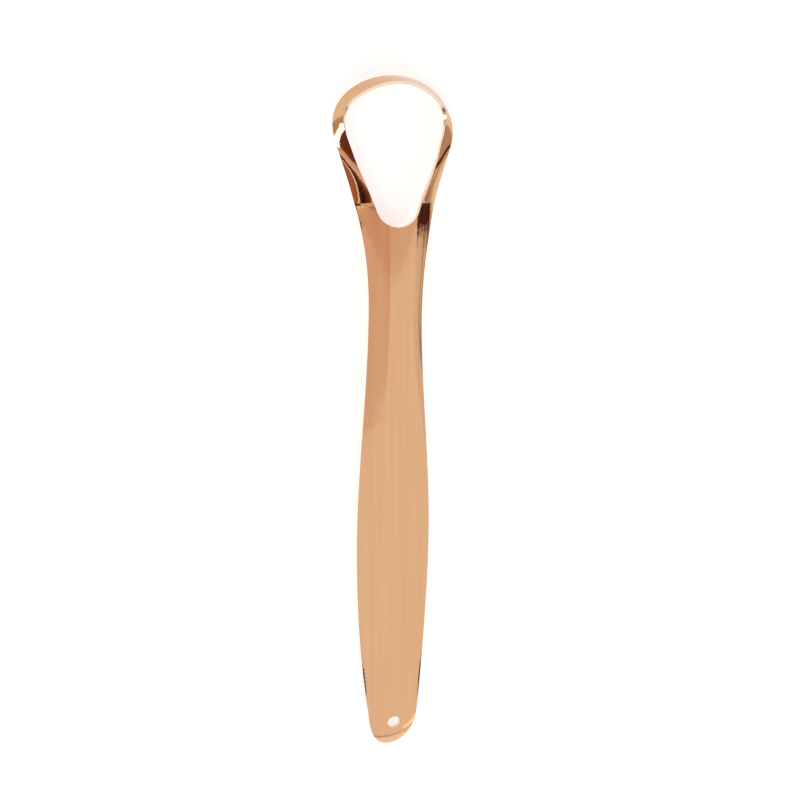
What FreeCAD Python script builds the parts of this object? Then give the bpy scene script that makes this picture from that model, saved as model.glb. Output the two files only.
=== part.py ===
import FreeCAD, Part
import math
import os

# A one-piece tongue scraper pressed from a single metal sheet.
# It lies convex side up on the floor: the loop's front shoulders and the curled end touch it.
# X runs across, Y from the hanging end to the loop, Z up.

doc = FreeCAD.newDocument("tongue_scraper")
sheet = doc.addObject("Spreadsheet::Sheet", "Dimensions")

DIMENSIONS = [
    # whole object
    ("overall_length", 150.0),
    ("sheet_thickness", 0.75),
    # loop, seen from above
    ("loop_width", 27.35),
    ("loop_round_length", 11.0),
    ("elbow_radius", 12.0),
    ("arm_angle", 18.5),
    ("fork_side_radius", 94.0),
    # loop band, place by place: its rim's height, its width and how steeply it rises
    ("front_rim_height", 0.4),
    ("shoulder_rim_height", 0.15),
    ("side_rim_height", 0.72),
    ("elbow_rim_height", 2.6),
    ("arm_rim_height", 2.8),
    ("front_band_width", 5.08),
    ("shoulder_band_width", 3.55),
    ("side_band_width", 2.9),
    ("elbow_band_width", 2.75),
    ("arm_band_width", 2.88),
    ("front_rise_angle", 79.0),
    ("shoulder_rise_angle", 69.5),
    ("side_rise_angle", 57.0),
    ("elbow_rise_angle", 20.0),
    ("arm_rise_angle", 27.5),
    ("front_crown_sag", 0.08),
    ("arm_crown_sag", 0.1),
    # opening's lower end
    ("mouth_radius", 5.1),
    ("mouth_flank_angle", 21.0),
    ("mouth_from_front", 32.1),
    # handle, seen from above
    ("neck_width", 12.3),
    ("grip_width", 16.9),
    ("grip_from_end", 49.0),
    ("end_width", 12.25),
    ("end_width_from_end", 11.0),
    # rounded end, drawn square to the curled sheet
    ("end_cut_tilt", 40.0),
    ("cheek_half_width", 4.35),
    ("cheek_from_tip", 3.6),
    ("round_end_from_tip", 9.0),
    # handle, seen from the side: height of the crown line
    ("curl_radius", 12.5),
    ("curl_angle", 48.0),
    ("waist_height", 4.0),
    ("waist_from_end", 26.0),
    ("grip_height", 4.25),
    ("neck_height", 5.4),
    ("root_height", 6.1),
    # radius of the trough's crown
    ("end_crown_radius", 14.0),
    ("grip_crown_radius", 28.0),
    ("neck_crown_radius", 12.0),
    ("root_crown_radius", 15.0),
    # hanging hole
    ("hang_hole_diameter", 2.9),
    ("hang_hole_from_end", 6.2),
    # how far a cutting tool runs past what it cuts
    ("overrun", 6.0),
]

for row, (alias, value) in enumerate(DIMENSIONS, start=1):
    sheet.set("A%d" % row, alias)
    sheet.set("B%d" % row, str(value))
    sheet.setAlias("B%d" % row, alias)
doc.recompute()


def size(alias):
    return float(sheet.get(alias))


X = FreeCAD.Vector(1, 0, 0)
Z = FreeCAD.Vector(0, 0, 1)
HALVINGS = 40


def eased(share):
    """A share from 0 to 1 that starts and stops gently."""
    return share * share * (3 - 2 * share)


def between(places, values, at):
    """The value at a place, eased from one named place to the next."""
    if at <= places[0]:
        return values[0]
    for left, right, low, high in zip(places, places[1:], values, values[1:]):
        if at <= right:
            return low + (high - low) * eased((at - left) / (right - left))
    return values[-1]


# Places along the handle and loop, from the hanging end
thickness = size("sheet_thickness")
loop_half = size("loop_width") / 2
neck_half = size("neck_width") / 2
round_length = size("loop_round_length")
arm_angle = math.radians(size("arm_angle"))
elbow_radius = size("elbow_radius")
side_radius = size("fork_side_radius")
widest_y = size("overall_length") - round_length
arcs = elbow_radius + side_radius
arm_run = (loop_half - neck_half - arcs * (1 - math.cos(arm_angle))) / math.sin(arm_angle)
neck_y = widest_y - arcs * math.sin(arm_angle) - arm_run * math.cos(arm_angle)
mouth_y = size("overall_length") - size("mouth_from_front")
root_y = mouth_y + size("mouth_radius")
grip_y = size("grip_from_end")


def half_width(y):
    """Half the handle's width at a distance from the end."""
    if y >= neck_y:
        turn = math.asin(min((y - neck_y) / side_radius, math.sin(arm_angle)))
        past = (y - neck_y) - side_radius * math.sin(turn)
        return neck_half + side_radius * (1 - math.cos(turn)) + past * math.tan(turn)
    if y >= grip_y:
        share = (y - grip_y) / (neck_y - grip_y)
        grip_half = size("grip_width") / 2
        return grip_half + (neck_half - grip_half) * eased(share)
    drop = (size("grip_width") - size("end_width")) / 2
    share = (grip_y - y) / (grip_y - size("end_width_from_end"))
    return size("grip_width") / 2 - drop * share ** 2


def crown_radius(y):
    """Radius of the trough's cross-section at a distance from the end."""
    places = [size("end_width_from_end"), grip_y, neck_y, root_y]
    names = ["end", "grip", "neck", "root"]
    return between(places, [size(name + "_crown_radius") for name in names], y)


# The crown line, drawn in the YZ plane: the curled end is an arc, the rest one curve
curl = math.radians(size("curl_angle"))
curl_radius = size("curl_radius")
curl_y = curl_radius * math.sin(curl)
end_tilt = math.radians(size("end_cut_tilt"))
shoulder_rise = math.radians(size("shoulder_rise_angle"))
tip_z = thickness * (math.cos(end_tilt) - math.cos(shoulder_rise))
curl_z = tip_z + curl_radius * (1 - math.cos(curl))


def on_curl(turn):
    """A point of the curled end's arc, turned down from its level start."""
    return FreeCAD.Vector(
        0, curl_y - curl_radius * math.sin(turn), curl_z - curl_radius * (1 - math.cos(turn))
    )


crown_points = [
    FreeCAD.Vector(0, curl_y, curl_z),
    FreeCAD.Vector(0, size("waist_from_end"), size("waist_height")),
    FreeCAD.Vector(0, grip_y, size("grip_height")),
    FreeCAD.Vector(0, neck_y, size("neck_height")),
    FreeCAD.Vector(0, root_y, size("root_height")),
]
level = FreeCAD.Vector(0, 1, 0)
crown_line = Part.BSplineCurve()
crown_line.interpolate(Points=crown_points, InitialTangent=level, FinalTangent=level)


def crown_frame(y):
    """The crown line's point and direction at a distance from the end."""
    if y < curl_y:
        turn = math.asin(min((curl_y - y) / curl_radius, math.sin(curl)))
        along = FreeCAD.Vector(0, math.cos(turn), math.sin(turn))
        past = (curl_y - y) - curl_radius * math.sin(turn)
        return on_curl(turn) - along * (past / math.cos(turn)), along
    start, stop = crown_line.FirstParameter, crown_line.LastParameter
    for _ in range(HALVINGS):
        middle = (start + stop) / 2
        if crown_line.value(middle).y < y:
            start = middle
        else:
            stop = middle
    along = FreeCAD.Vector(*crown_line.tangent(stop)[0])
    return crown_line.value(stop), along


def closed_section(upper, lower, side=1):
    """A closed wire from an upper and a lower arc of three points, or its mirror image."""
    upper = [FreeCAD.Vector(point.x * side, point.y, point.z) for point in upper]
    lower = [FreeCAD.Vector(point.x * side, point.y, point.z) for point in lower]
    edges = [
        Part.Arc(*upper).toShape(),
        Part.LineSegment(upper[2], lower[2]).toShape(),
        Part.Arc(lower[2], lower[1], lower[0]).toShape(),
        Part.LineSegment(lower[0], upper[0]).toShape(),
    ]
    return Part.Wire(edges)


def handle_section(y):
    """The trough's section square to the crown line."""
    point, along = crown_frame(y)
    up = X.cross(along)
    radius = crown_radius(y)
    reach = math.asin(half_width(y) / radius)
    centre = point - up * radius
    arcs_at = []
    for r in (radius, radius - thickness):
        arcs_at.append(
            [centre + X * (r * math.sin(a)) + up * (r * math.cos(a)) for a in (-reach, 0, reach)]
        )
    return closed_section(*arcs_at)


# Handle: the trough from past the curled end to the fork's root
curl_shares = [1.0, 0.66, 0.33, 0.0]
waist_shares = [0.2, 0.45, 0.72, 1.0]
grip_shares = [0.25, 0.5, 0.75, 1.0]
neck_shares = [0.35, 0.7, 1.0]
stations = [-size("overrun") / 2]
stations += [curl_y - curl_radius * math.sin(curl * share) for share in curl_shares]
stations += [curl_y + (grip_y - curl_y) * share for share in waist_shares]
stations += [grip_y + (neck_y - grip_y) * share for share in grip_shares]
stations += [neck_y + (root_y - neck_y) * share for share in neck_shares]
handle_sheet = doc.addObject("Part::Feature", "handle_sheet")
handle_sheet.Shape = Part.makeLoft([handle_section(y) for y in stations], True, False)


# Loop band: sections square to the rim's outline, from the root up and over the front
def round_place(angle):
    """Rim point and inward direction on the loop's round part, angle from its front."""
    point = FreeCAD.Vector(loop_half * math.sin(angle), widest_y + round_length * math.cos(angle), 0)
    inward = FreeCAD.Vector(
        -math.sin(angle) / loop_half, -math.cos(angle) / round_length, 0
    )
    return point, inward.normalize()


def elbow_place(angle):
    """Rim point and inward direction on the elbow, angle turned from the widest place."""
    centre = FreeCAD.Vector(loop_half - elbow_radius, widest_y, 0)
    outward = FreeCAD.Vector(math.cos(angle), -math.sin(angle), 0)
    return centre + outward * elbow_radius, outward * -1


def arm_place(share):
    """Rim point and inward direction on the arm, from the elbow (0) to the root (1)."""
    start = elbow_place(arm_angle)[0]
    y = start.y + (root_y - start.y) * share
    turn = math.asin(min((y - neck_y) / side_radius, math.sin(arm_angle)))
    turn *= 1 - share ** 2
    return FreeCAD.Vector(half_width(y), y, 0), FreeCAD.Vector(-math.cos(turn), math.sin(turn), 0)


def band_section(place, rim_height, width, rise, sag):
    """The band's outer and inner arcs between its rim and its cut edge."""
    point, inward = place
    along = inward * math.cos(rise) + Z * math.sin(rise)
    outward = Z * math.cos(rise) - inward * math.sin(rise)
    rim = point + Z * rim_height
    outer = [rim, rim + along * (width / 2) + outward * sag, rim + along * width]
    return outer, [p - outward * thickness for p in outer]


def through(places, values):
    """A smooth curve of a value over the places where it is given, even about the first."""
    points = [FreeCAD.Vector(-at, value, 0) for at, value in zip(places, values)][:0:-1]
    points += [FreeCAD.Vector(at, value, 0) for at, value in zip(places, values)]
    curve = Part.BSplineCurve()
    curve.interpolate(Points=points, Parameters=[point.x for point in points])
    return curve


# The root's section is the trough's own, from its edge to the mouth
flank_angle = math.radians(size("mouth_flank_angle"))
mouth_half = size("mouth_radius") / math.cos(flank_angle)
root_radius = size("root_crown_radius")
root_outer = math.asin(half_width(root_y) / root_radius)
root_inner = math.asin(mouth_half / root_radius)
root_turns = (root_outer, (root_outer + root_inner) / 2, root_inner)
root_centre = FreeCAD.Vector(0, root_y, size("root_height") - root_radius)
root_arcs = []
for r in (root_radius, root_radius - thickness):
    root_arcs.append(
        [root_centre + X * (r * math.sin(a)) + Z * (r * math.cos(a)) for a in root_turns]
    )

round_steps, arm_steps = 6, 4
elbow_step = round_steps + 1
root_step = elbow_step + arm_steps
named_steps = [0, round_steps / 2, round_steps - 1, elbow_step, elbow_step + 1, root_step]
named = ["front", "shoulder", "side", "elbow", "arm"]
heights = [size(name + "_rim_height") for name in named] + [root_arcs[0][0].z]
widths = [size(name + "_band_width") for name in named]
widths.append(root_arcs[0][0].distanceToPoint(root_arcs[0][2]))
rises = [size(name + "_rise_angle") for name in named]
rises.append(math.degrees((root_outer + root_inner) / 2))
height_at = through(named_steps, heights)
width_at = through(named_steps, widths)
rise_at = through(named_steps, rises)
root_sag = root_radius * (1 - math.cos((root_outer - root_inner) / 2))
sag_steps = [0, elbow_step, root_step]
sag_at = through(sag_steps, [size("front_crown_sag"), size("arm_crown_sag"), root_sag])

right_sections = []
for step in range(root_step):
    if step <= round_steps:
        place = round_place(math.pi / 2 * step / round_steps)
    elif step == elbow_step:
        place = elbow_place(arm_angle)
    else:
        place = arm_place((step - elbow_step) / arm_steps)
    right_sections.append(
        band_section(
            place,
            height_at.value(step).y,
            width_at.value(step).y,
            math.radians(rise_at.value(step).y),
            sag_at.value(step).y,
        )
    )
right_sections.append(root_arcs)

band_sections = [closed_section(*arcs_at, -1) for arcs_at in right_sections[:0:-1]]
band_sections += [closed_section(*arcs_at) for arcs_at in right_sections]
loop_band = doc.addObject("Part::Feature", "loop_band")
loop_band.Shape = Part.makeLoft(band_sections, True, False)


def bind(item, **expressions):
    """Drive an object's properties from the sheet; two underscores stand for a dot."""
    for name, expression in expressions.items():
        item.setExpression(name.replace("__", "."), expression)


# Rounded end: a tool square to the curled sheet takes off what lies outside the outline
tip = FreeCAD.Vector(0, 0, 0)
cheek = FreeCAD.Vector(size("cheek_half_width"), size("cheek_from_tip"), 0)
round_end = size("round_end_from_tip")
side_end = FreeCAD.Vector(half_width(round_end), round_end, 0)
side_slope = (half_width(round_end) - half_width(round_end - thickness)) / thickness
half_outline = Part.BSplineCurve()
half_outline.interpolate(
    Points=[tip, cheek, side_end],
    InitialTangent=X,
    FinalTangent=FreeCAD.Vector(side_slope, 1, 0),
)
wide = size("grip_width")
corners = [
    side_end,
    FreeCAD.Vector(wide, round_end, 0),
    FreeCAD.Vector(wide, -size("overrun"), 0),
    FreeCAD.Vector(-wide, -size("overrun"), 0),
    FreeCAD.Vector(-wide, round_end, 0),
    FreeCAD.Vector(-side_end.x, round_end, 0),
]
waste_edges = [half_outline.toShape(), half_outline.toShape().mirror(tip, X)]
waste_edges += [Part.LineSegment(p, q).toShape() for p, q in zip(corners, corners[1:])]
end_outline = doc.addObject("Part::Feature", "end_outline")
end_outline.Shape = Part.Face(Part.Wire(Part.__sortEdges__(waste_edges)))
end_outline.Placement = FreeCAD.Placement(
    FreeCAD.Vector(0, 0, tip_z), FreeCAD.Rotation(X, math.degrees(end_tilt))
)
end_waste = doc.addObject("Part::Extrusion", "end_waste")
end_waste.Base = end_outline
end_waste.DirMode = "Normal"
end_waste.Symmetric = True
end_waste.Solid = True
bind(end_waste, LengthFwd="Dimensions.overrun * 2")

# Mouth of the fork: a round bottom with two straight flanks, punched square to the sheet
def mouth_outline(rise):
    """The mouth's outline at a height over the trough's centre line, spread in proportion."""
    radius, run = size("mouth_radius"), size("overrun")
    touch = FreeCAD.Vector(radius * math.cos(flank_angle), -radius * math.sin(flank_angle), 0)
    far = FreeCAD.Vector(touch.x + (run - touch.y) * math.tan(flank_angle), run, 0)
    far_left, touch_left = FreeCAD.Vector(-far.x, far.y, 0), FreeCAD.Vector(-touch.x, touch.y, 0)
    wire = Part.Wire([
        Part.Arc(touch_left, FreeCAD.Vector(0, -radius, 0), touch).toShape(),
        Part.LineSegment(touch, far).toShape(),
        Part.LineSegment(far, far_left).toShape(),
        Part.LineSegment(far_left, touch_left).toShape(),
    ])
    spread = FreeCAD.Matrix()
    spread.A11 = rise * math.tan(root_inner) / mouth_half
    wire = wire.transformGeometry(spread)
    wire.translate(root_centre + Z * rise)
    return wire


mouth_punch = doc.addObject("Part::Feature", "mouth_punch")
punch_rises = [root_radius - size("overrun"), root_radius + size("overrun")]
mouth_punch.Shape = Part.makeLoft([mouth_outline(rise) for rise in punch_rises], True, True)

# Hanging hole, square to the sheet where it sits
hole_point, hole_along = crown_frame(size("hang_hole_from_end"))
hang_hole = doc.addObject("Part::Cylinder", "hang_hole")
bind(hang_hole, Radius="Dimensions.hang_hole_diameter / 2", Height="Dimensions.overrun")
hole_axis = X.cross(hole_along)
hang_hole.Placement = FreeCAD.Placement(
    hole_point - hole_axis * (size("overrun") / 2), FreeCAD.Rotation(Z, hole_axis)
)
cutters = doc.addObject("Part::MultiFuse", "cutters")
cutters.Shapes = [mouth_punch, hang_hole, end_waste]
handle_cut = doc.addObject("Part::Cut", "handle_cut")
handle_cut.Base = handle_sheet
handle_cut.Tool = cutters

# The finished piece: handle and loop are one sheet
scraper = doc.addObject("Part::Fuse", "scraper")
scraper.Base = handle_cut
scraper.Tool = loop_band
scraper.Label = "tongue_scraper"
doc.recompute()
box = scraper.Shape.optimalBoundingBox(False)
scraper.Placement.Base = FreeCAD.Vector(-box.Center.x, -box.Center.y, -box.ZMin)
doc.recompute()

for item in doc.Objects:
    if "Invalid" in item.State or "Error" in item.State:
        raise RuntimeError(item.Label + " did not recompute")
    if hasattr(item, "Shape") and (item.Shape.isNull() or not item.Shape.isValid()):
        raise RuntimeError(item.Label + " has a bad shape")
if len(scraper.Shape.Solids) != 1:
    raise RuntimeError("the scraper is not one solid")

os.makedirs("parts", exist_ok=True)
scraper.Shape.exportStep("parts/" + scraper.Label + ".step")
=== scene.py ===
import math

import bmesh
import bpy
import numpy as np
from bpy.props import FloatProperty, FloatVectorProperty, PointerProperty
from mathutils import Euler, Matrix, Vector


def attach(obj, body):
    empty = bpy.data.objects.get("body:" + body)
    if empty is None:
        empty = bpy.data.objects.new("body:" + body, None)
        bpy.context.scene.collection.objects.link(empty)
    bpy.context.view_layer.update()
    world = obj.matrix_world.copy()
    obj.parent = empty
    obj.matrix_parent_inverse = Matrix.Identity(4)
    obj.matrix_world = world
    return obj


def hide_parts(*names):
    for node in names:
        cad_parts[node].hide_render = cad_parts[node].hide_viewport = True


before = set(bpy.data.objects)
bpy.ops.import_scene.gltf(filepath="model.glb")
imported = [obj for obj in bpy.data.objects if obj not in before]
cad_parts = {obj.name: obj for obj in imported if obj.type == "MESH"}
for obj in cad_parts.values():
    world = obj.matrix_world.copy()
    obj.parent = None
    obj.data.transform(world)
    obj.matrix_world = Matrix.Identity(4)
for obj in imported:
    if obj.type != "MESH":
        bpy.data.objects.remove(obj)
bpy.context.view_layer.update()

bl_info = {
    "name": "Pressed copper tongue scraper",
    "version": (1, 0, 0),
    "blender": (4, 5, 0),
    "location": "3D View > Sidebar > Scraper",
    "description": "Presses and buffs a one-piece tongue scraper and lights it on white paper",
    "category": "Object",
}

MM = 0.001
NODE = "tongue_scraper"
X = Vector((1, 0, 0))
Z = Vector((0, 0, 1))


# Colours and shader nodes


def linear(hex_colour):
    """An sRGB hex colour as linear red, green and blue."""
    channels = [int(hex_colour[i : i + 2], 16) / 255 for i in (1, 3, 5)]
    return [c / 12.92 if c <= 0.04045 else ((c + 0.055) / 1.055) ** 2.4 for c in channels]


def add_node(tree, kind, settings=None, inputs=None):
    """Adds a shader node, with its settings, and its inputs' values or links."""
    node = tree.nodes.new(kind)
    for name, value in (settings or {}).items():
        setattr(node, name, value)
    for name, value in (inputs or {}).items():
        if isinstance(value, bpy.types.NodeSocket):
            tree.links.new(value, node.inputs[name])
        else:
            node.inputs[name].default_value = value
    return node


def empty_material(name):
    """A material whose node tree is still empty."""
    material = bpy.data.materials.new(name)
    material.use_nodes = True
    material.node_tree.nodes.clear()
    return material


# Sizes, finish and light that a user may change


def length(name, millimetres, description):
    """A size, given in millimetres."""
    metres = millimetres * MM
    return FloatProperty(name=name, description=description, default=metres, unit="LENGTH")


def angle(name, degrees, description):
    """An angle, given in degrees."""
    turn = math.radians(degrees)
    return FloatProperty(name=name, description=description, default=turn, subtype="ANGLE")


def colour(name, hex_colour, description):
    """A colour, given as sRGB hex."""
    tone = linear(hex_colour)
    return FloatVectorProperty(
        name=name, description=description, default=tone, subtype="COLOR", min=0, max=1
    )


def strength(name, value, description):
    """A radiance or a roughness, which is never below zero."""
    return FloatProperty(name=name, description=description, default=value, min=0)


class SheetSizes(bpy.types.PropertyGroup):
    """The pressed sheet's sizes, place by place."""

    overall_length: length("Overall length", 150.0, "From the hanging end to the loop's front")
    sheet_thickness: length("Sheet thickness", 0.75, "Gauge of the metal sheet")
    loop_width: length("Loop width", 27.35, "Across the loop at its widest")
    loop_round_length: length("Round length", 11.0, "From the loop's widest place to its front")
    elbow_radius: length("Elbow radius", 12.0, "Rim's bend from the loop into the arm")
    arm_angle: angle("Arm angle", 18.5, "How far each arm leans in from straight")
    fork_side_radius: length("Fork side radius", 94.0, "Hollow side from the neck to the arm")
    front_rim_height: length("Rim height, front", 0.4, "Rim above the floor at the front")
    shoulder_rim_height: length("Rim height, shoulder", 0.15, "Rim above the floor at the shoulder")
    side_rim_height: length("Rim height, side", 0.72, "Rim above the floor at the side")
    elbow_rim_height: length("Rim height, elbow", 2.6, "Rim above the floor at the elbow")
    arm_rim_height: length("Rim height, arm", 2.8, "Rim above the floor on the arm")
    front_band_width: length("Band width, front", 5.08, "Width of the scraping band")
    shoulder_band_width: length("Band width, shoulder", 3.55, "Width of the band at the shoulder")
    side_band_width: length("Band width, side", 2.9, "Width of the band at the side")
    elbow_band_width: length("Band width, elbow", 2.75, "Width of the band at the elbow")
    arm_band_width: length("Band width, arm", 2.88, "Width of the arm near the elbow")
    front_rise_angle: angle("Rise, front", 79.0, "How steeply the band rises from its rim")
    shoulder_rise_angle: angle("Rise, shoulder", 69.5, "How steeply the shoulder rises")
    side_rise_angle: angle("Rise, side", 57.0, "How steeply the side rises")
    elbow_rise_angle: angle("Rise, elbow", 20.0, "How steeply the elbow rises")
    arm_rise_angle: angle("Rise, arm", 27.5, "How steeply the arm rises")
    front_crown_sag: length("Crown, front", 0.08, "How far the band bulges across its width")
    arm_crown_sag: length("Crown, arm", 0.1, "How far the elbow bulges across its width")
    mouth_radius: length("Mouth radius", 5.1, "Round bottom of the opening")
    mouth_flank_angle: angle("Mouth flank angle", 21.0, "Lean of the opening's lower flanks")
    mouth_from_front: length("Mouth from front", 32.1, "From the front to the opening's bottom")
    neck_width: length("Neck width", 12.3, "Handle at its narrowest")
    grip_width: length("Grip width", 16.9, "Handle at its widest")
    grip_from_end: length("Grip from end", 49.0, "Place of the handle's widest section")
    end_width: length("End width", 12.25, "Handle beside the hanging hole")
    end_width_from_end: length("End width from end", 11.0, "Place where the end's width is taken")
    end_cut_tilt: angle("End tilt", 40.0, "Slope on which the rounded end is drawn")
    cheek_half_width: length("Cheek half width", 4.35, "Half width of the rounded end's cheek")
    cheek_from_tip: length("Cheek from tip", 3.6, "Place of the cheek along the slope")
    round_end_from_tip: length("Round end from tip", 9.0, "Where the rounded end meets the sides")
    curl_radius: length("Curl radius", 12.5, "Bend of the curled hanging end")
    curl_angle: angle("Curl angle", 48.0, "How far the hanging end curls down")
    waist_height: length("Waist height", 4.0, "Crown line at the waist")
    waist_from_end: length("Waist from end", 26.0, "Place of the crown line's waist")
    grip_height: length("Grip height", 4.25, "Crown line at the grip")
    neck_height: length("Neck height", 5.4, "Crown line at the neck")
    root_height: length("Root height", 6.1, "Crown line at the fork's root")
    end_crown_radius: length("Crown radius, end", 14.0, "Trough's cross curve at the end")
    grip_crown_radius: length("Crown radius, grip", 28.0, "Trough's cross curve at the grip")
    neck_crown_radius: length("Crown radius, neck", 12.0, "Trough's cross curve at the neck")
    root_crown_radius: length("Crown radius, root", 15.0, "Trough's cross curve at the root")
    hang_hole_diameter: length("Hole diameter", 2.9, "Hanging hole")
    hang_hole_from_end: length("Hole from end", 6.2, "Hanging hole's place")
    edge_rounding: length("Edge rounding", 0.16, "Radius left by polishing the cut edges")


class CopperFinish(bpy.types.PropertyGroup):
    """The look of the polished copper."""

    copper: colour("Copper", "#DAB087", "Colour of the clean polished metal")
    copper_warm: colour("Warm copper", "#D8AA80", "Colour of the warmer streaks along the metal")
    streak_spacing: length("Streak spacing", 1.3, "Distance between the warmer streaks")
    streak_length: length("Streak length", 60.0, "Length of a warmer streak")
    gloss_blur: strength("Gloss blur", 0.06, "Roughness of the buffed surface")
    lines_blur: strength("Polishing lines", 0.05, "Extra roughness along the buffing lines")
    line_spacing: length("Line spacing", 0.35, "Distance between buffing lines")
    line_length: length("Line length", 9.0, "Length of a buffing line")
    ripple_spacing: length("Ripple spacing", 5.0, "Distance between the press's largest ripples")
    ripple_depth: length("Ripple depth", 0.03, "Depth of the press's faint ripples")
    # The cut edge's colour is the edge's copper lifted almost to white, a painted highlight
    cut_edge_and_highlight: colour("Cut edge", "#F0DAC4", "Colour of the sheared edge, paler than the face")
    cut_blur: strength("Cut edge blur", 0.2, "Roughness of the sheared edge")


class StudioLight(bpy.types.PropertyGroup):
    """The studio round the scraper."""

    paper: colour("Paper", "#D8D8D8", "Colour of the floor's paper")
    paper_glow: strength("Paper glow", 0.67, "White that the eye and reflections see in the paper")
    room_dark: colour("Dark ceiling", "#46190B", "Ceiling and upper walls")
    room_warm: colour("Warm walls", "#D1BCAE", "Wall behind the loop, and a low one on the right")
    horizon: colour("Horizon", "#E8E4E1", "Foot of the walls, as pale as the floor's far end")
    panel_strength: strength("Panels", 1.0, "Radiance of the soft boxes over the handle")
    dim_strength: strength("Dim boxes", 0.88, "Radiance of the soft boxes round the panels")
    dim_tone: colour("Dim tone", "#FFF2EC", "Colour of the dim boxes over the neck and the fork")
    strip_strength: strength("Strip", 0.792, "Radiance of the soft box over the fork's left")
    strip_tone: colour("Strip tone", "#FFE4D6", "Colour of the soft box over the fork's left")
    window_strength: strength("Window", 4.5, "Radiance of the bright box on the left")
    gleam_strength: strength("Gleam", 1.2, "Radiance of the thin box beside the left arm")
    ember: colour("Ember", "#B37961", "Colour of the warm boxes on the left")
    ember_strength: strength("Ember strength", 1.0, "Radiance of the warm box beside the left arm")
    glow_strength: strength("Glow", 0.25, "Radiance of the faint warm boxes over the loop")


# Shape of the sheet's convex face, as formulas of the sizes

# The band's steps count from the loop's front round to its side, then the elbow and the arm
ROUND_STEPS = 6
ARM_STEPS = 4
ELBOW_STEP = ROUND_STEPS + 1
ROOT_STEP = ELBOW_STEP + ARM_STEPS

# A slope is measured over a hundredth of the sheet's gauge, and a section is found by halving
GAUGE_SHARES = 100
HALVINGS = 30


def smooth_curve(places, values, start_slope=0.0, end_slope=None):
    """A cubic spline through values at places; without an end slope it ends unbent."""
    x, y = np.array(places, float), np.array(values, float)
    gap = np.diff(x)
    matrix, right = np.zeros((len(x), len(x))), np.zeros(len(x))
    matrix[0, 0], right[0] = 1, start_slope
    for i in range(1, len(x) - 1):
        matrix[i, i - 1 : i + 2] = 1 / gap[i - 1], 2 / gap[i - 1] + 2 / gap[i], 1 / gap[i]
        right[i] = 3 * ((y[i] - y[i - 1]) / gap[i - 1] ** 2 + (y[i + 1] - y[i]) / gap[i] ** 2)
    if end_slope is None:
        matrix[-1, -2:] = 1, 2
        right[-1] = 3 * (y[-1] - y[-2]) / gap[-1]
    else:
        matrix[-1, -1], right[-1] = 1, end_slope
    slope = np.linalg.solve(matrix, right)

    def value(at):
        """The curve's value at a place."""
        i = int(np.clip(np.searchsorted(x, at) - 1, 0, len(x) - 2))
        t = (at - x[i]) / gap[i]
        rise, p, q = y[i + 1] - y[i], slope[i] * gap[i], slope[i + 1] * gap[i]
        return float(y[i] + t * (p + t * (3 * rise - 2 * p - q + t * (p + q - 2 * rise))))

    return value


def eased(share):
    """A share from 0 to 1 that starts and stops gently."""
    return share * share * (3 - 2 * share)


def between(places, values, at):
    """The value at a place, eased from one named place to the next."""
    if at <= places[0]:
        return values[0]
    for left, right, low, high in zip(places, places[1:], values, values[1:]):
        if at <= right:
            return low + (high - low) * eased((at - left) / (right - left))
    return values[-1]


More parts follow.
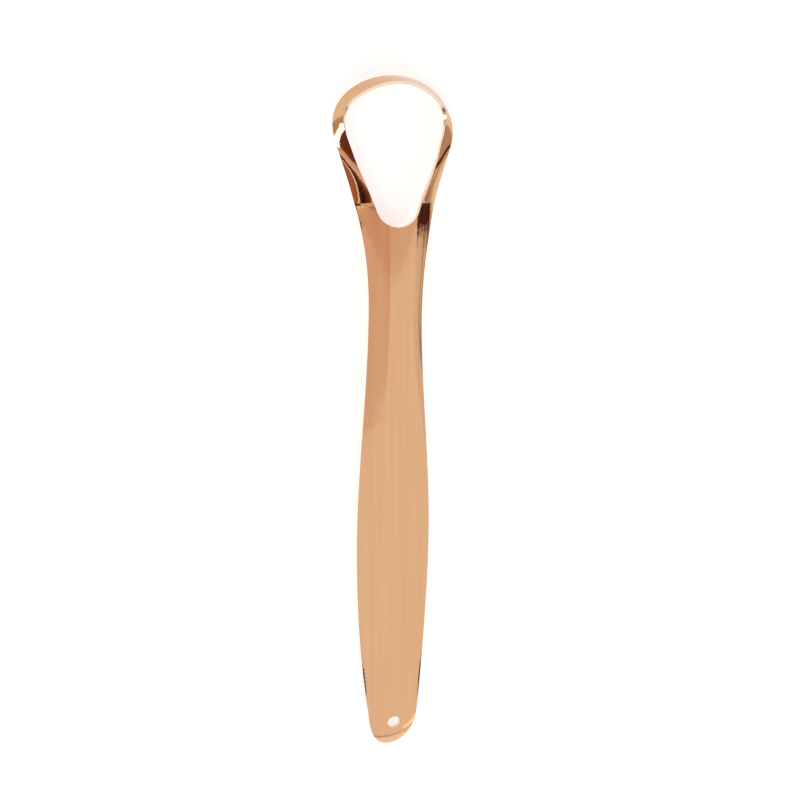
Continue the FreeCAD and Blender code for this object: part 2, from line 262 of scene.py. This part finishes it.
class ConvexFace:
    """The sheet's upper face: the handle's trough and the loop's band."""

    def __init__(self, sizes):
        self.sizes = sizes
        self.loop_half = sizes.loop_width / 2
        self.neck_half = sizes.neck_width / 2
        self.widest_y = sizes.overall_length - sizes.loop_round_length
        arcs = sizes.elbow_radius + sizes.fork_side_radius
        lean = sizes.arm_angle
        across = self.loop_half - self.neck_half - arcs * (1 - math.cos(lean))
        self.neck_y = self.widest_y - arcs * math.sin(lean) - across / math.tan(lean)
        self.mouth_y = sizes.overall_length - sizes.mouth_from_front
        self.root_y = self.mouth_y + sizes.mouth_radius
        self.mouth_half = sizes.mouth_radius / math.cos(sizes.mouth_flank_angle)
        self.mouth_arc = sizes.mouth_radius * (math.pi / 2 - sizes.mouth_flank_angle)
        self.curl_y = sizes.curl_radius * math.sin(sizes.curl_angle)
        lift = math.cos(sizes.end_cut_tilt) - math.cos(sizes.shoulder_rise_angle)
        self.tip = Vector((0, 0, sizes.sheet_thickness * lift))
        self.curl_z = self.tip.z + sizes.curl_radius * (1 - math.cos(sizes.curl_angle))
        places = [self.curl_y, sizes.waist_from_end, sizes.grip_from_end, self.neck_y, self.root_y]
        heights = [getattr(sizes, name + "_height") for name in ("waist", "grip", "neck", "root")]
        self.crown_z = smooth_curve(places, [self.curl_z, *heights], end_slope=0.0)
        self.fit_band()

    def half_width(self, y):
        """Half the handle's width at a distance from the end."""
        sizes = self.sizes
        if y >= self.neck_y:
            turn = self.side_turn(y)
            bend = sizes.fork_side_radius * (1 - math.cos(turn))
            past = (y - self.neck_y) - sizes.fork_side_radius * math.sin(turn)
            return self.neck_half + bend + past * math.tan(turn)
        if y >= sizes.grip_from_end:
            share = (y - sizes.grip_from_end) / (self.neck_y - sizes.grip_from_end)
            grip_half = sizes.grip_width / 2
            return grip_half + (self.neck_half - grip_half) * eased(share)
        share = (sizes.grip_from_end - y) / (sizes.grip_from_end - sizes.end_width_from_end)
        return (sizes.grip_width - (sizes.grip_width - sizes.end_width) * share**2) / 2

    def side_turn(self, y):
        """How far the fork's side has turned outwards at a distance from the end."""
        sine = (y - self.neck_y) / self.sizes.fork_side_radius
        return math.asin(min(sine, math.sin(self.sizes.arm_angle)))

    def crown_radius(self, y):
        """The trough's cross curve at a distance from the end."""
        sizes = self.sizes
        places = [sizes.end_width_from_end, sizes.grip_from_end, self.neck_y, self.root_y]
        names = "end", "grip", "neck", "root"
        return between(places, [getattr(sizes, name + "_crown_radius") for name in names], y)

    def crown_frame(self, y):
        """The crown line's point and direction at a distance from the end."""
        sizes = self.sizes
        if y < self.curl_y:
            radius = sizes.curl_radius
            turn = math.asin(min((self.curl_y - y) / radius, math.sin(sizes.curl_angle)))
            along = Vector((0, math.cos(turn), math.sin(turn)))
            drop = radius * (1 - math.cos(turn))
            point = Vector((0, self.curl_y - radius * math.sin(turn), self.curl_z - drop))
            return point - along * ((point.y - y) / math.cos(turn)), along
        step = sizes.sheet_thickness / GAUGE_SHARES
        rise = self.crown_z(y + step) - self.crown_z(max(y - step, self.curl_y))
        return Vector((0, y, self.crown_z(y))), Vector((0, 2 * step, rise)).normalized()

    def handle(self, x, y):
        """The trough's face at x across, in the section at y."""
        point, along = self.crown_frame(y)
        radius = self.crown_radius(y)
        return point + X * x - X.cross(along) * (radius - math.sqrt(radius**2 - x**2))

    def section_on_slope(self, x, t):
        """The section in which the face at x lies t up the rounded end's slope."""
        tilt = self.sizes.end_cut_tilt
        slope = Vector((0, math.cos(tilt), math.sin(tilt)))
        low, high = -self.sizes.curl_radius, 2 * self.sizes.curl_radius
        for _ in range(HALVINGS):
            middle = (low + high) / 2
            if (self.handle(x, middle) - self.tip).dot(slope) < t:
                low = middle
            else:
                high = middle
        return high

    def fit_band(self):
        """Curves of the band's height, width, rise and bulge over its steps."""
        sizes = self.sizes
        radius = sizes.root_crown_radius
        outer = math.asin(self.half_width(self.root_y) / radius)
        inner = math.asin(self.mouth_half / radius)
        steps = [0, ROUND_STEPS / 2, ROUND_STEPS - 1, ELBOW_STEP, ELBOW_STEP + 1, ROOT_STEP]
        places = ["front", "shoulder", "side", "elbow", "arm"]
        heights, widths, rises = (
            [getattr(sizes, place + name) for place in places]
            for name in ("_rim_height", "_band_width", "_rise_angle")
        )
        # At the root the band is the strip of the trough from the opening to the side
        heights.append(sizes.root_height - radius * (1 - math.cos(outer)))
        widths.append(2 * radius * math.sin((outer - inner) / 2))
        rises.append((outer + inner) / 2)
        root_sag = radius * (1 - math.cos((outer - inner) / 2))
        self.height_at = smooth_curve(steps, heights)
        self.width_at = smooth_curve(steps, widths)
        self.rise_at = smooth_curve(steps, rises)
        sags = [sizes.front_crown_sag, sizes.arm_crown_sag, root_sag]
        self.sag_at = smooth_curve([0, ELBOW_STEP, ROOT_STEP], sags)

    def rim_place(self, step):
        """Rim point and inward direction, from the loop's front to the fork's root."""
        sizes = self.sizes
        if step <= ROUND_STEPS:
            turn = math.pi / 2 * step / ROUND_STEPS
            sine, cosine = math.sin(turn), math.cos(turn)
            y = self.widest_y + sizes.loop_round_length * cosine
            inward = Vector((-sine / self.loop_half, -cosine / sizes.loop_round_length, 0))
            return Vector((self.loop_half * sine, y, 0)), inward.normalized()
        turn = sizes.arm_angle * min(step - ROUND_STEPS, 1)
        outward = Vector((math.cos(turn), -math.sin(turn), 0))
        centre = Vector((self.loop_half - sizes.elbow_radius, self.widest_y, 0))
        start = centre + outward * sizes.elbow_radius
        if step <= ELBOW_STEP:
            return start, -outward
        share = (step - ELBOW_STEP) / ARM_STEPS
        y = start.y + (self.root_y - start.y) * share
        turn = self.side_turn(y) * (1 - share**2)
        return Vector((self.half_width(y), y, 0)), Vector((-math.cos(turn), math.sin(turn), 0))

    def band(self, share, step):
        """The band's face, from its rim (0) to its cut edge (1)."""
        point, inward = self.rim_place(step)
        rise = self.rise_at(step)
        along = inward * math.cos(rise) + Z * math.sin(rise)
        outward = Z * math.cos(rise) - inward * math.sin(rise)
        bulge = 4 * share * (1 - share) * self.sag_at(step)
        rim = point + Z * self.height_at(step)
        return rim + along * self.width_at(step) * share + outward * bulge


# The sheet as one mesh: a grid for each stretch, its places then pressed into shape

# Faces across one half and along each stretch; decimals that tell a flat grid's rows apart;
# and the distance under which two places are one
COLUMNS = 20
END_ROWS = 34
HANDLE_ROWS = 210
BAND_ROWS = 132
DECIMALS = 6
WELD = 0.001 * MM

# The end's grid has its corner at this share of the outline from the tip to the cheek, and
# stops at this many times the rounded end's length; its side settles in a few rounds
CORNER_SHARE = 0.72
END_REACH = 1.55
SETTLING_ROUNDS = 6

# Beside the opening's bottom the rows trail by this many times its radius
ROW_LAG = 1.2

# In hole diameters, half the block cleared round the hanging hole, and a reach that holds
# the block's border; then the cuts across the faces from that border to the hole
HALF_BLOCK = 0.85
BORDER_REACH = 1.5
HOLE_CUTS = 3


def flat_grid(bm, columns, rows):
    """A grid's vertices, row by row."""
    made = bmesh.ops.create_grid(bm, x_segments=columns, y_segments=rows, size=1)
    verts = sorted(made["verts"], key=lambda vert: vert.co.yx.to_tuple(DECIMALS))
    return [verts[i : i + columns + 1] for i in range(0, len(verts), columns + 1)]


def lay_end(bm, face):
    """The rounded end's right half, laid flat as (across, section); returns its grid."""
    sizes = face.sizes
    cheek = Vector((sizes.cheek_half_width, sizes.cheek_from_tip))
    side = Vector((face.half_width(sizes.round_end_from_tip), sizes.round_end_from_tip))
    step = sizes.sheet_thickness
    lean = Vector((side.x - face.half_width(side.y - step), step)).normalized()
    places = [0, cheek.length, cheek.length + (side - cheek).length]
    across = smooth_curve(places, [0, cheek.x, side.x], 1.0, lean.x)
    up = smooth_curve(places, [0, cheek.y, side.y], 0.0, lean.y)

    def edge(place):
        """The outline at a distance along it, up the end's slope."""
        if place <= places[2]:
            return Vector((across(place), up(place)))
        t = side.y + (place - places[2])
        x = side.x
        for _ in range(SETTLING_ROUNDS):
            x = face.half_width(face.section_on_slope(x, t))
        return Vector((x, t))

    # Each place is blended from the middle line, the side and the tip's rounded edge
    corner, top = CORNER_SHARE * places[1], END_REACH * side.y
    last = places[2] + top - side.y
    rows = flat_grid(bm, COLUMNS, END_ROWS)
    bottom = [edge(corner * c / COLUMNS) for c in range(COLUMNS + 1)]
    flank = [edge(corner + (last - corner) * r / END_ROWS) for r in range(END_ROWS + 1)]
    for r, row in enumerate(rows):
        v = r / END_ROWS
        for c, vert in enumerate(row):
            u = c / COLUMNS
            place = Vector((0, top * v)) * (1 - u) + flank[r] * u
            place += (bottom[c] - bottom[-1] * u) * (1 - v)
            vert.co = (place.x, face.section_on_slope(place.x, place.y), 0)
    return rows


def inner_place(face, run):
    """The handle's inner border: the middle line, then the opening's bottom and flank."""
    radius, lean = face.sizes.mouth_radius, face.sizes.mouth_flank_angle
    past = run - face.mouth_y
    if past <= 0:
        return Vector((0, run))
    if past <= face.mouth_arc:
        turn = past / radius
        place = Vector((math.sin(turn), -math.cos(turn))) * radius
    else:
        place = Vector((math.cos(lean), -math.sin(lean))) * radius
        place += Vector((math.sin(lean), math.cos(lean))) * (past - face.mouth_arc)
    place.y += face.root_y
    # The opening is drawn on a flat plane and carried onto the trough along its radii
    root_turn = math.asin(face.mouth_half / face.sizes.root_crown_radius)
    turn = math.atan(place.x * math.tan(root_turn) / face.mouth_half)
    place.x = face.crown_radius(place.y) * math.sin(turn)
    return place


def lay_handle(bm, face, start):
    """The handle's right half from the end's last row to the fork's root, laid flat."""
    sizes = face.sizes
    first, last = start[0], start[-1]
    flank = sizes.mouth_radius * math.tan(sizes.mouth_flank_angle)
    inner_run = face.mouth_y - first.y + face.mouth_arc + flank
    lag_y, lag = face.neck_y - sizes.mouth_radius, ROW_LAG * sizes.mouth_radius
    runs = [first.y, lag_y, face.mouth_y, first.y + inner_run]
    outer = [last.y, lag_y, face.mouth_y - lag, face.root_y]
    for r, row in enumerate(flat_grid(bm, COLUMNS, HANDLE_ROWS)):
        run = first.y + inner_run * r / HANDLE_ROWS
        inner = inner_place(face, run)
        outer_y = float(np.interp(run, runs, outer))
        # The first rows keep less and less of the bow of the end's last row
        fade = max(0.0, 1 - (run - first.y) / sizes.cheek_half_width)
        for c, vert in enumerate(row):
            u = c / COLUMNS
            if r == 0:
                vert.co = start[c]
                continue
            bow = start[c].y - (first.y + (last.y - first.y) * u)
            y = inner.y + (outer_y - inner.y) * u
            vert.co = (inner.x + (face.half_width(y) - inner.x) * u, y + bow * fade, 0)


def cut_hole(bm, face, rows):
    """Takes a block of the end's grid out round the hanging hole, from its right half."""
    sizes = face.sizes
    block = HALF_BLOCK * sizes.hang_hole_diameter
    hole_y = sizes.hang_hole_from_end
    near = [r for r, row in enumerate(rows) if abs(row[0].co.y - hole_y) < block]
    reach = sum(vert.co.x < block for vert in rows[near[len(near) // 2]])
    taken = {vert for r in near for vert in rows[r][:reach]}
    inside = [f for f in bm.faces if all(vert in taken for vert in f.verts)]
    bmesh.ops.delete(bm, geom=inside, context="FACES")


def round_hole(bm, face):
    """Joins the hole's circle to the block left open round it."""
    sizes = face.sizes
    centre = Vector((0, sizes.hang_hole_from_end, 0))
    near = BORDER_REACH * sizes.hang_hole_diameter
    border = [
        edge for edge in bm.edges
        if edge.is_boundary and all((vert.co - centre).length < near for vert in edge.verts)
    ]
    radius = sizes.hang_hole_diameter / 2
    circle = bmesh.ops.create_circle(bm, segments=len(border), radius=radius)["verts"]
    along = face.crown_frame(sizes.hang_hole_from_end)[1]
    for vert in circle:
        vert.co = centre + Vector((vert.co.x, vert.co.y * along.y, 0))
    hole = [edge for edge in bm.edges if all(vert in circle for vert in edge.verts)]
    bridge = bmesh.ops.bridge_loops(bm, edges=border + hole)
    bmesh.ops.subdivide_edges(bm, edges=bridge["edges"], cuts=HOLE_CUTS, use_grid_fill=True)


def mirror_across(bm):
    """Adds the left half to the right one."""
    geometry = bm.verts[:] + bm.edges[:] + bm.faces[:]
    bmesh.ops.mirror(bm, geom=geometry, axis="X", merge_dist=WELD)


def press_handle(bm, face):
    """The handle: laid flat, with its hole, mirrored, then pressed into its trough."""
    end_rows = lay_end(bm, face)
    start = [vert.co.copy() for vert in end_rows[-1]]
    lay_handle(bm, face, start)
    cut_hole(bm, face, end_rows)
    bmesh.ops.remove_doubles(bm, verts=bm.verts, dist=WELD)
    mirror_across(bm)
    round_hole(bm, face)
    for vert in bm.verts:
        vert.co = face.handle(vert.co.x, vert.co.y)


def press_band(bm, face):
    """The loop's band: its right half from the root to the front, then mirrored."""
    outer_half = face.half_width(face.root_y)
    for r, row in enumerate(flat_grid(bm, COLUMNS, BAND_ROWS)):
        step = ROOT_STEP * (1 - r / BAND_ROWS)
        for c, vert in enumerate(row):
            share = c / COLUMNS
            if r == 0:
                x = face.mouth_half + (outer_half - face.mouth_half) * share
                vert.co = face.handle(x, face.root_y)
            else:
                vert.co = face.band(1 - share, step)
    mirror_across(bm)


def press_sheet(sizes):
    """The whole sheet's convex face as one smooth mesh."""
    face = ConvexFace(sizes)
    mesh = bpy.data.meshes.new("pressed_sheet")
    bm = bmesh.new()
    # The band is put by once it is made, because pressing the handle moves all it finds
    press_band(bm, face)
    bm.to_mesh(mesh)
    bm.clear()
    press_handle(bm, face)
    bm.from_mesh(mesh)
    bmesh.ops.remove_doubles(bm, verts=bm.verts, dist=2 * WELD)
    bmesh.ops.recalc_face_normals(bm, faces=bm.faces)
    looks_down = sum(f.normal.z * f.calc_area() for f in bm.faces) < 0
    if looks_down:
        bmesh.ops.reverse_faces(bm, faces=bm.faces)
    for f in bm.faces:
        f.smooth = True
    bmesh.ops.translate(bm, verts=bm.verts, vec=(0, -sizes.overall_length / 2, 0))
    bm.to_mesh(mesh)
    bm.free()
    return mesh


# Edges that turn by more than this are the cut ones, and are rounded in so many segments
CUT_EDGE_TURN = math.radians(50)
ROUNDING_SEGMENTS = 3


def thicken(scraper, sizes):
    """Gives the sheet its gauge, below its convex face, and rounds its cut edges."""
    wall = scraper.modifiers.new("Sheet thickness", "SOLIDIFY")
    wall.thickness = sizes.sheet_thickness
    wall.offset = -1
    wall.use_even_offset = True
    wall.material_offset_rim = 1  # the cut edge wears the second material
    rounding = scraper.modifiers.new("Polished edges", "BEVEL")
    rounding.width = sizes.edge_rounding
    rounding.segments = ROUNDING_SEGMENTS
    rounding.profile = 0.5
    rounding.limit_method = "ANGLE"
    rounding.angle_limit = CUT_EDGE_TURN
    rounding.harden_normals = True


def set_down(scraper):
    """Lowers or lifts the sheet's mesh until its lowest edge touches the floor."""
    shown = scraper.evaluated_get(bpy.context.evaluated_depsgraph_get())
    lowest = min(vert.co.z for vert in shown.to_mesh().vertices)
    shown.to_mesh_clear()
    scraper.data.transform(Matrix.Translation((0, 0, -lowest)))


# Copper: a sheet pressed, then buffed to a mirror


def cloudy_pattern(tree, place, size, detail, grain=0.5):
    """A cloudy pattern whose features have a real size across, along and in height."""
    scale = [1 / extent for extent in size]
    scaled = add_node(tree, "ShaderNodeMapping", inputs={"Vector": place, "Scale": scale})
    pattern = {"Vector": scaled.outputs[0], "Scale": 1.0, "Detail": detail, "Roughness": grain}
    return add_node(tree, "ShaderNodeTexNoise", inputs=pattern).outputs[0]


def buffed_copper(finish):
    """Copper buffed to a warm mirror.

    Streaks along it shift its tone, fine buffing lines soften the mirror here and there,
    and shallow ripples from the press break the edges of what it reflects. Real buffing
    lines lie some 0.05 mm apart, so they are drawn several times coarser, to show.
    """
    material = empty_material("buffed_copper")
    tree = material.node_tree
    place = add_node(tree, "ShaderNodeTexCoord").outputs["Object"]
    line = finish.line_spacing, finish.line_length, finish.line_spacing
    lines = cloudy_pattern(tree, place, line, detail=3.0, grain=0.6)
    streak = finish.streak_spacing, finish.streak_length, finish.streak_spacing
    streaks = cloudy_pattern(tree, place, streak, detail=1.0)
    ripples = cloudy_pattern(tree, place, [finish.ripple_spacing] * 3, detail=4.0, grain=0.6)
    blur = {
        "Value": lines,
        "From Min": 0.35,
        "From Max": 0.75,
        "To Min": finish.gloss_blur,
        "To Max": finish.gloss_blur + finish.lines_blur,
    }
    roughness = add_node(tree, "ShaderNodeMapRange", inputs=blur)
    dents = {"Height": ripples, "Distance": finish.ripple_depth, "Strength": 1.0}
    dented = add_node(tree, "ShaderNodeBump", inputs=dents)
    shares = {"Value": streaks, "From Min": 0.3, "From Max": 0.7}
    share = add_node(tree, "ShaderNodeMapRange", inputs=shares)
    tones = {"Factor": share.outputs[0], 6: (*finish.copper_warm, 1), 7: (*finish.copper, 1)}
    tint = add_node(tree, "ShaderNodeMix", {"data_type": "RGBA"}, tones)
    metal = {
        "Base Color": tint.outputs[2],
        "Metallic": 1.0,
        "Roughness": roughness.outputs[0],
        "Normal": dented.outputs[0],
    }
    shader = add_node(tree, "ShaderNodeBsdfPrincipled", inputs=metal)
    add_node(tree, "ShaderNodeOutputMaterial", inputs={"Surface": shader.outputs[0]})
    return material


def sheared_copper_with_highlight(finish):
    """The sheet's sheared edge: duller than the face, and paler, which paints a highlight on it.

    Its grain is drawn as coarse as the buffing lines, to show.
    """
    material = empty_material("sheared_copper_with_highlight")
    tree = material.node_tree
    place = add_node(tree, "ShaderNodeTexCoord").outputs["Object"]
    grain = cloudy_pattern(tree, place, [finish.line_spacing] * 3, detail=2.0)
    blur = {"Value": grain, "To Min": finish.cut_blur / 2, "To Max": finish.cut_blur * 1.5}
    roughness = add_node(tree, "ShaderNodeMapRange", inputs=blur)
    metal = {
        # The pale base colour is a painted highlight along the cut edge
        "Base Color": (*finish.cut_edge_and_highlight, 1),
        "Metallic": 1.0,
        "Roughness": roughness.outputs[0],
    }
    shader = add_node(tree, "ShaderNodeBsdfPrincipled", inputs=metal)
    add_node(tree, "ShaderNodeOutputMaterial", inputs={"Surface": shader.outputs[0]})
    return material


# Studio: paper, room, soft boxes and camera, in metres

FLOOR_REACH = 3.0

# The loft is the plane of the panels: it falls from the strips over the fork down to the
# floor beyond the handle's end
LOFT_Y = -0.059
LOFT_Z = 0.443
LOFT_RISE = 1.111

LENS_MM = 92.08
CAMERA_PLACE = (-0.15177, 0.08790, 0.41636)
CAMERA_DEGREES = (-10.808, -20.285, 0.337)


def seen_directly(tree):
    """1 for what the eye or a reflection sees, 0 for light that falls on things."""
    path = add_node(tree, "ShaderNodeLightPath").outputs
    seen = path["Is Camera Ray"]
    for kind in ("Is Glossy Ray", "Is Transmission Ray"):
        rays = {0: seen, 1: path[kind]}
        seen = add_node(tree, "ShaderNodeMath", {"operation": "MAXIMUM"}, rays).outputs[0]
    return seen


def white_paper(studio):
    """Matt white paper, lit up to white for the eye, and still taking a shadow."""
    material = empty_material("white_paper")
    tree = material.node_tree
    shares = {0: seen_directly(tree), 1: studio.paper_glow}
    glow = add_node(tree, "ShaderNodeMath", {"operation": "MULTIPLY"}, shares)
    light = {"Color": (1, 1, 1, 1), "Strength": glow.outputs[0]}
    lit = add_node(tree, "ShaderNodeEmission", inputs=light)
    matt = add_node(tree, "ShaderNodeBsdfDiffuse", inputs={"Color": (*studio.paper, 1)})
    both = add_node(tree, "ShaderNodeAddShader", inputs={0: matt.outputs[0], 1: lit.outputs[0]})
    add_node(tree, "ShaderNodeOutputMaterial", inputs={"Surface": both.outputs[0]})
    return material


def lay_floor(studio):
    """The paper that the scraper lies on."""
    mesh = bpy.data.meshes.new("floor")
    bm = bmesh.new()
    bmesh.ops.create_grid(bm, x_segments=1, y_segments=1, size=FLOOR_REACH)
    bm.to_mesh(mesh)
    bm.free()
    mesh.materials.append(white_paper(studio))
    floor = bpy.data.objects.new("floor", mesh)
    bpy.context.collection.objects.link(floor)


def room_zone(tree, *stretches):
    """1 in a zone of the room and 0 outside it.

    A stretch is a part of the direction, where the zone starts and where it is full.
    """
    inside = 1.0
    for part, start, full in stretches:
        limits = {"Value": part, "From Min": start, "From Max": full}
        eases = {"interpolation_type": "SMOOTHSTEP"}
        ramp = add_node(tree, "ShaderNodeMapRange", eases, limits).outputs[0]
        factors = {0: inside, 1: ramp}
        inside = add_node(tree, "ShaderNodeMath", {"operation": "MULTIPLY"}, factors).outputs[0]
    return inside


def hang_room(studio):
    """A dim red ceiling over warm walls, and a pale horizon like the floor's far end."""
    world = bpy.data.worlds.new("room")
    world.use_nodes = True
    tree = world.node_tree
    tree.nodes.clear()
    sky = add_node(tree, "ShaderNodeTexCoord").outputs["Generated"]
    parts = add_node(tree, "ShaderNodeSeparateXYZ", inputs={"Vector": sky}).outputs
    across, along, up = parts["X"], parts["Y"], parts["Z"]
    behind = room_zone(tree, (up, 0.72, 0.58), (along, -0.095, -0.075))
    before = room_zone(tree, (up, 0.27, 0.22), (along, -0.15, -0.19), (across, 0.5, 0.6))
    foot = room_zone(tree, (up, 0.12, 0.07))
    walls = add_node(tree, "ShaderNodeMath", {"operation": "MAXIMUM"}, {0: behind, 1: before})
    colours = {"data_type": "RGBA"}
    tones = {"Factor": walls.outputs[0], 6: (*studio.room_dark, 1), 7: (*studio.room_warm, 1)}
    room = add_node(tree, "ShaderNodeMix", colours, tones)
    tones = {"Factor": foot, 6: room.outputs[2], 7: (*studio.horizon, 1)}
    paint = add_node(tree, "ShaderNodeMix", colours, tones)
    back = add_node(tree, "ShaderNodeBackground", inputs={"Color": paint.outputs[2]})
    add_node(tree, "ShaderNodeOutputWorld", inputs={"Surface": back.outputs[0]})
    bpy.context.scene.world = world


def soft_box(name, corner, across, up, radiance, tone=(1, 1, 1)):
    """A rectangular soft box, from a corner and its two sides, facing the scraper."""
    across, up = Vector(across), Vector(up)
    centre = Vector(corner) + (across + up) / 2
    if across.cross(up).dot(centre) < 0:
        across.negate()
    away = across.cross(up).normalized()
    light = bpy.data.lights.new(name, "AREA")
    light.shape = "RECTANGLE"
    light.size, light.size_y = across.length, up.length
    light.energy = radiance * math.pi * across.length * up.length
    light.color = tone
    box = bpy.data.objects.new(name, light)
    bpy.context.collection.objects.link(box)
    turn = Matrix((across.normalized(), up.normalized(), away)).transposed()
    box.location = centre
    box.rotation_euler = turn.to_euler()
    box.visible_camera = False


def loft_box(name, left, right, low, high, radiance, tone=(1, 1, 1)):
    """A soft box on the loft, from its left side to its right and its low end to its high."""
    slope = Vector((0, 1, LOFT_RISE))
    corner = Vector((left, LOFT_Y, LOFT_Z)) + slope * (low - LOFT_Y)
    soft_box(name, corner, (right - left, 0, 0), slope * (high - low), radiance, tone)


def light_handle(studio):
    """Panels over the handle, with dimmer ones to both sides, edge to edge."""
    panel, dim = studio.panel_strength, studio.dim_strength
    far_left, left, middle, right = -0.44, -0.2, 0.02, 0.62
    end, far_neck, neck = -0.42, -0.1, -0.085
    loft_box("panel", left, right, end, neck, panel)
    loft_box("neck_panel", middle, right, neck, LOFT_Y, panel)
    loft_box("left_panel_1", left, middle, neck, LOFT_Y, dim, studio.dim_tone)
    loft_box("left_panel_2", far_left, left, far_neck, LOFT_Y, dim, studio.dim_tone)
    # Each step to the right: its right side, its two ends and its share of the dim strength
    steps = (
        (0.8, -0.2, neck, 1.0),
        (1.0, -0.21, -0.108, 1.0),
        (1.25, -0.22, -0.138, 0.5),
        (1.6, -0.23, -0.172, 0.5),
    )
    for number, (side, low, high, share) in enumerate(steps, 1):
        loft_box(f"right_panel_{number}", right, side, low, high, share * dim)
        right = side


def light_loop(studio):
    """Level strips over the fork, a bright window on the left, and faint warm boxes."""
    strip = {"across": (0.6, 0, 0), "up": (0, 0.058, 0)}
    soft_box(
        "left_strip",
        corner=(-0.58, LOFT_Y, LOFT_Z),
        radiance=studio.strip_strength,
        tone=studio.strip_tone,
        **strip,
    )
    soft_box(
        "right_strip",
        corner=(0.02, LOFT_Y, LOFT_Z),
        radiance=studio.dim_strength,
        tone=studio.dim_tone,
        **strip,
    )
    soft_box(
        "window",
        corner=(-0.52, 0.005, 0.267),
        across=(0, 0.147, 0),
        up=(0.22, 0, 0.178),
        radiance=studio.window_strength,
    )
    soft_box(
        "gleam",
        corner=(-0.466, -0.093, 0.377),
        across=(0.079, -0.149, 0),
        up=(-0.017, -0.009, -0.025),
        radiance=studio.gleam_strength,
    )
    soft_box(
        "ember",
        corner=(-0.498, -0.105, 0.338),
        across=(0.077, -0.149, 0),
        up=(-0.06, -0.031, -0.136),
        radiance=studio.ember_strength,
        tone=studio.ember,
    )
    glow = {"radiance": studio.glow_strength, "tone": studio.ember}
    soft_box("upper_glow", corner=(-0.3, 0, 0.46), across=(0.2, 0, 0), up=(0, 0.11, 0), **glow)
    soft_box("lower_glow", corner=(-0.5, -0.17, 0.46), across=(0.29, 0, 0), up=(0, 0.06, 0), **glow)


def set_camera():
    """The camera at the photograph's place, with its lens."""
    lens = bpy.data.cameras.new("camera")
    lens.lens = LENS_MM
    camera = bpy.data.objects.new("camera", lens)
    bpy.context.collection.objects.link(camera)
    camera.location = CAMERA_PLACE
    camera.rotation_euler = Euler([math.radians(turn) for turn in CAMERA_DEGREES])
    bpy.context.scene.camera = camera


# Operators, panel and registration


class SCRAPER_OT_press_sheet(bpy.types.Operator):
    """Press the scraper from one sheet, round its edges and buff it"""

    bl_idname = "scraper.press_sheet"
    bl_label = "Press the sheet"
    bl_options = {"REGISTER", "UNDO"}

    def execute(self, context):
        sizes, finish = context.scene.scraper_sizes, context.scene.scraper_finish
        mesh = press_sheet(sizes)
        mesh.materials.append(buffed_copper(finish))
        mesh.materials.append(sheared_copper_with_highlight(finish))
        scraper = bpy.data.objects.new("pressed_scraper", mesh)
        context.collection.objects.link(scraper)
        thicken(scraper, sizes)
        set_down(scraper)
        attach(scraper, "root")
        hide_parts(NODE)
        return {"FINISHED"}


class SCRAPER_OT_set_stage(bpy.types.Operator):
    """Lay the white floor and set the lights and the camera"""

    bl_idname = "scraper.set_stage"
    bl_label = "Set the stage"
    bl_options = {"REGISTER", "UNDO"}

    def execute(self, context):
        studio = context.scene.scraper_studio
        lay_floor(studio)
        hang_room(studio)
        light_handle(studio)
        light_loop(studio)
        set_camera()
        context.scene.view_settings.view_transform = "Standard"
        return {"FINISHED"}


class SCRAPER_PT_sidebar(bpy.types.Panel):
    """Both steps, and the sizes, finish and light that they use"""

    bl_idname = "SCRAPER_PT_sidebar"
    bl_label = "Tongue scraper"
    bl_space_type = "VIEW_3D"
    bl_region_type = "UI"
    bl_category = "Scraper"

    def draw(self, context):
        layout = self.layout
        layout.operator(SCRAPER_OT_press_sheet.bl_idname)
        layout.operator(SCRAPER_OT_set_stage.bl_idname)
        scene = context.scene
        for group in (scene.scraper_sizes, scene.scraper_finish, scene.scraper_studio):
            for name in group.__annotations__:
                layout.prop(group, name)


CLASSES = (
    SheetSizes,
    CopperFinish,
    StudioLight,
    SCRAPER_OT_press_sheet,
    SCRAPER_OT_set_stage,
    SCRAPER_PT_sidebar,
)


def register():
    """Makes the classes and the three groups of settings known to Blender."""
    for cls in CLASSES:
        bpy.utils.register_class(cls)
    bpy.types.Scene.scraper_sizes = PointerProperty(type=SheetSizes)
    bpy.types.Scene.scraper_finish = PointerProperty(type=CopperFinish)
    bpy.types.Scene.scraper_studio = PointerProperty(type=StudioLight)


def unregister():
    """Takes the settings and the classes out again."""
    del bpy.types.Scene.scraper_studio
    del bpy.types.Scene.scraper_finish
    del bpy.types.Scene.scraper_sizes
    for cls in reversed(CLASSES):
        bpy.utils.unregister_class(cls)


def main():
    register()
    bpy.ops.scraper.press_sheet()
    bpy.ops.scraper.set_stage()


if __name__ == "__main__":
    main()
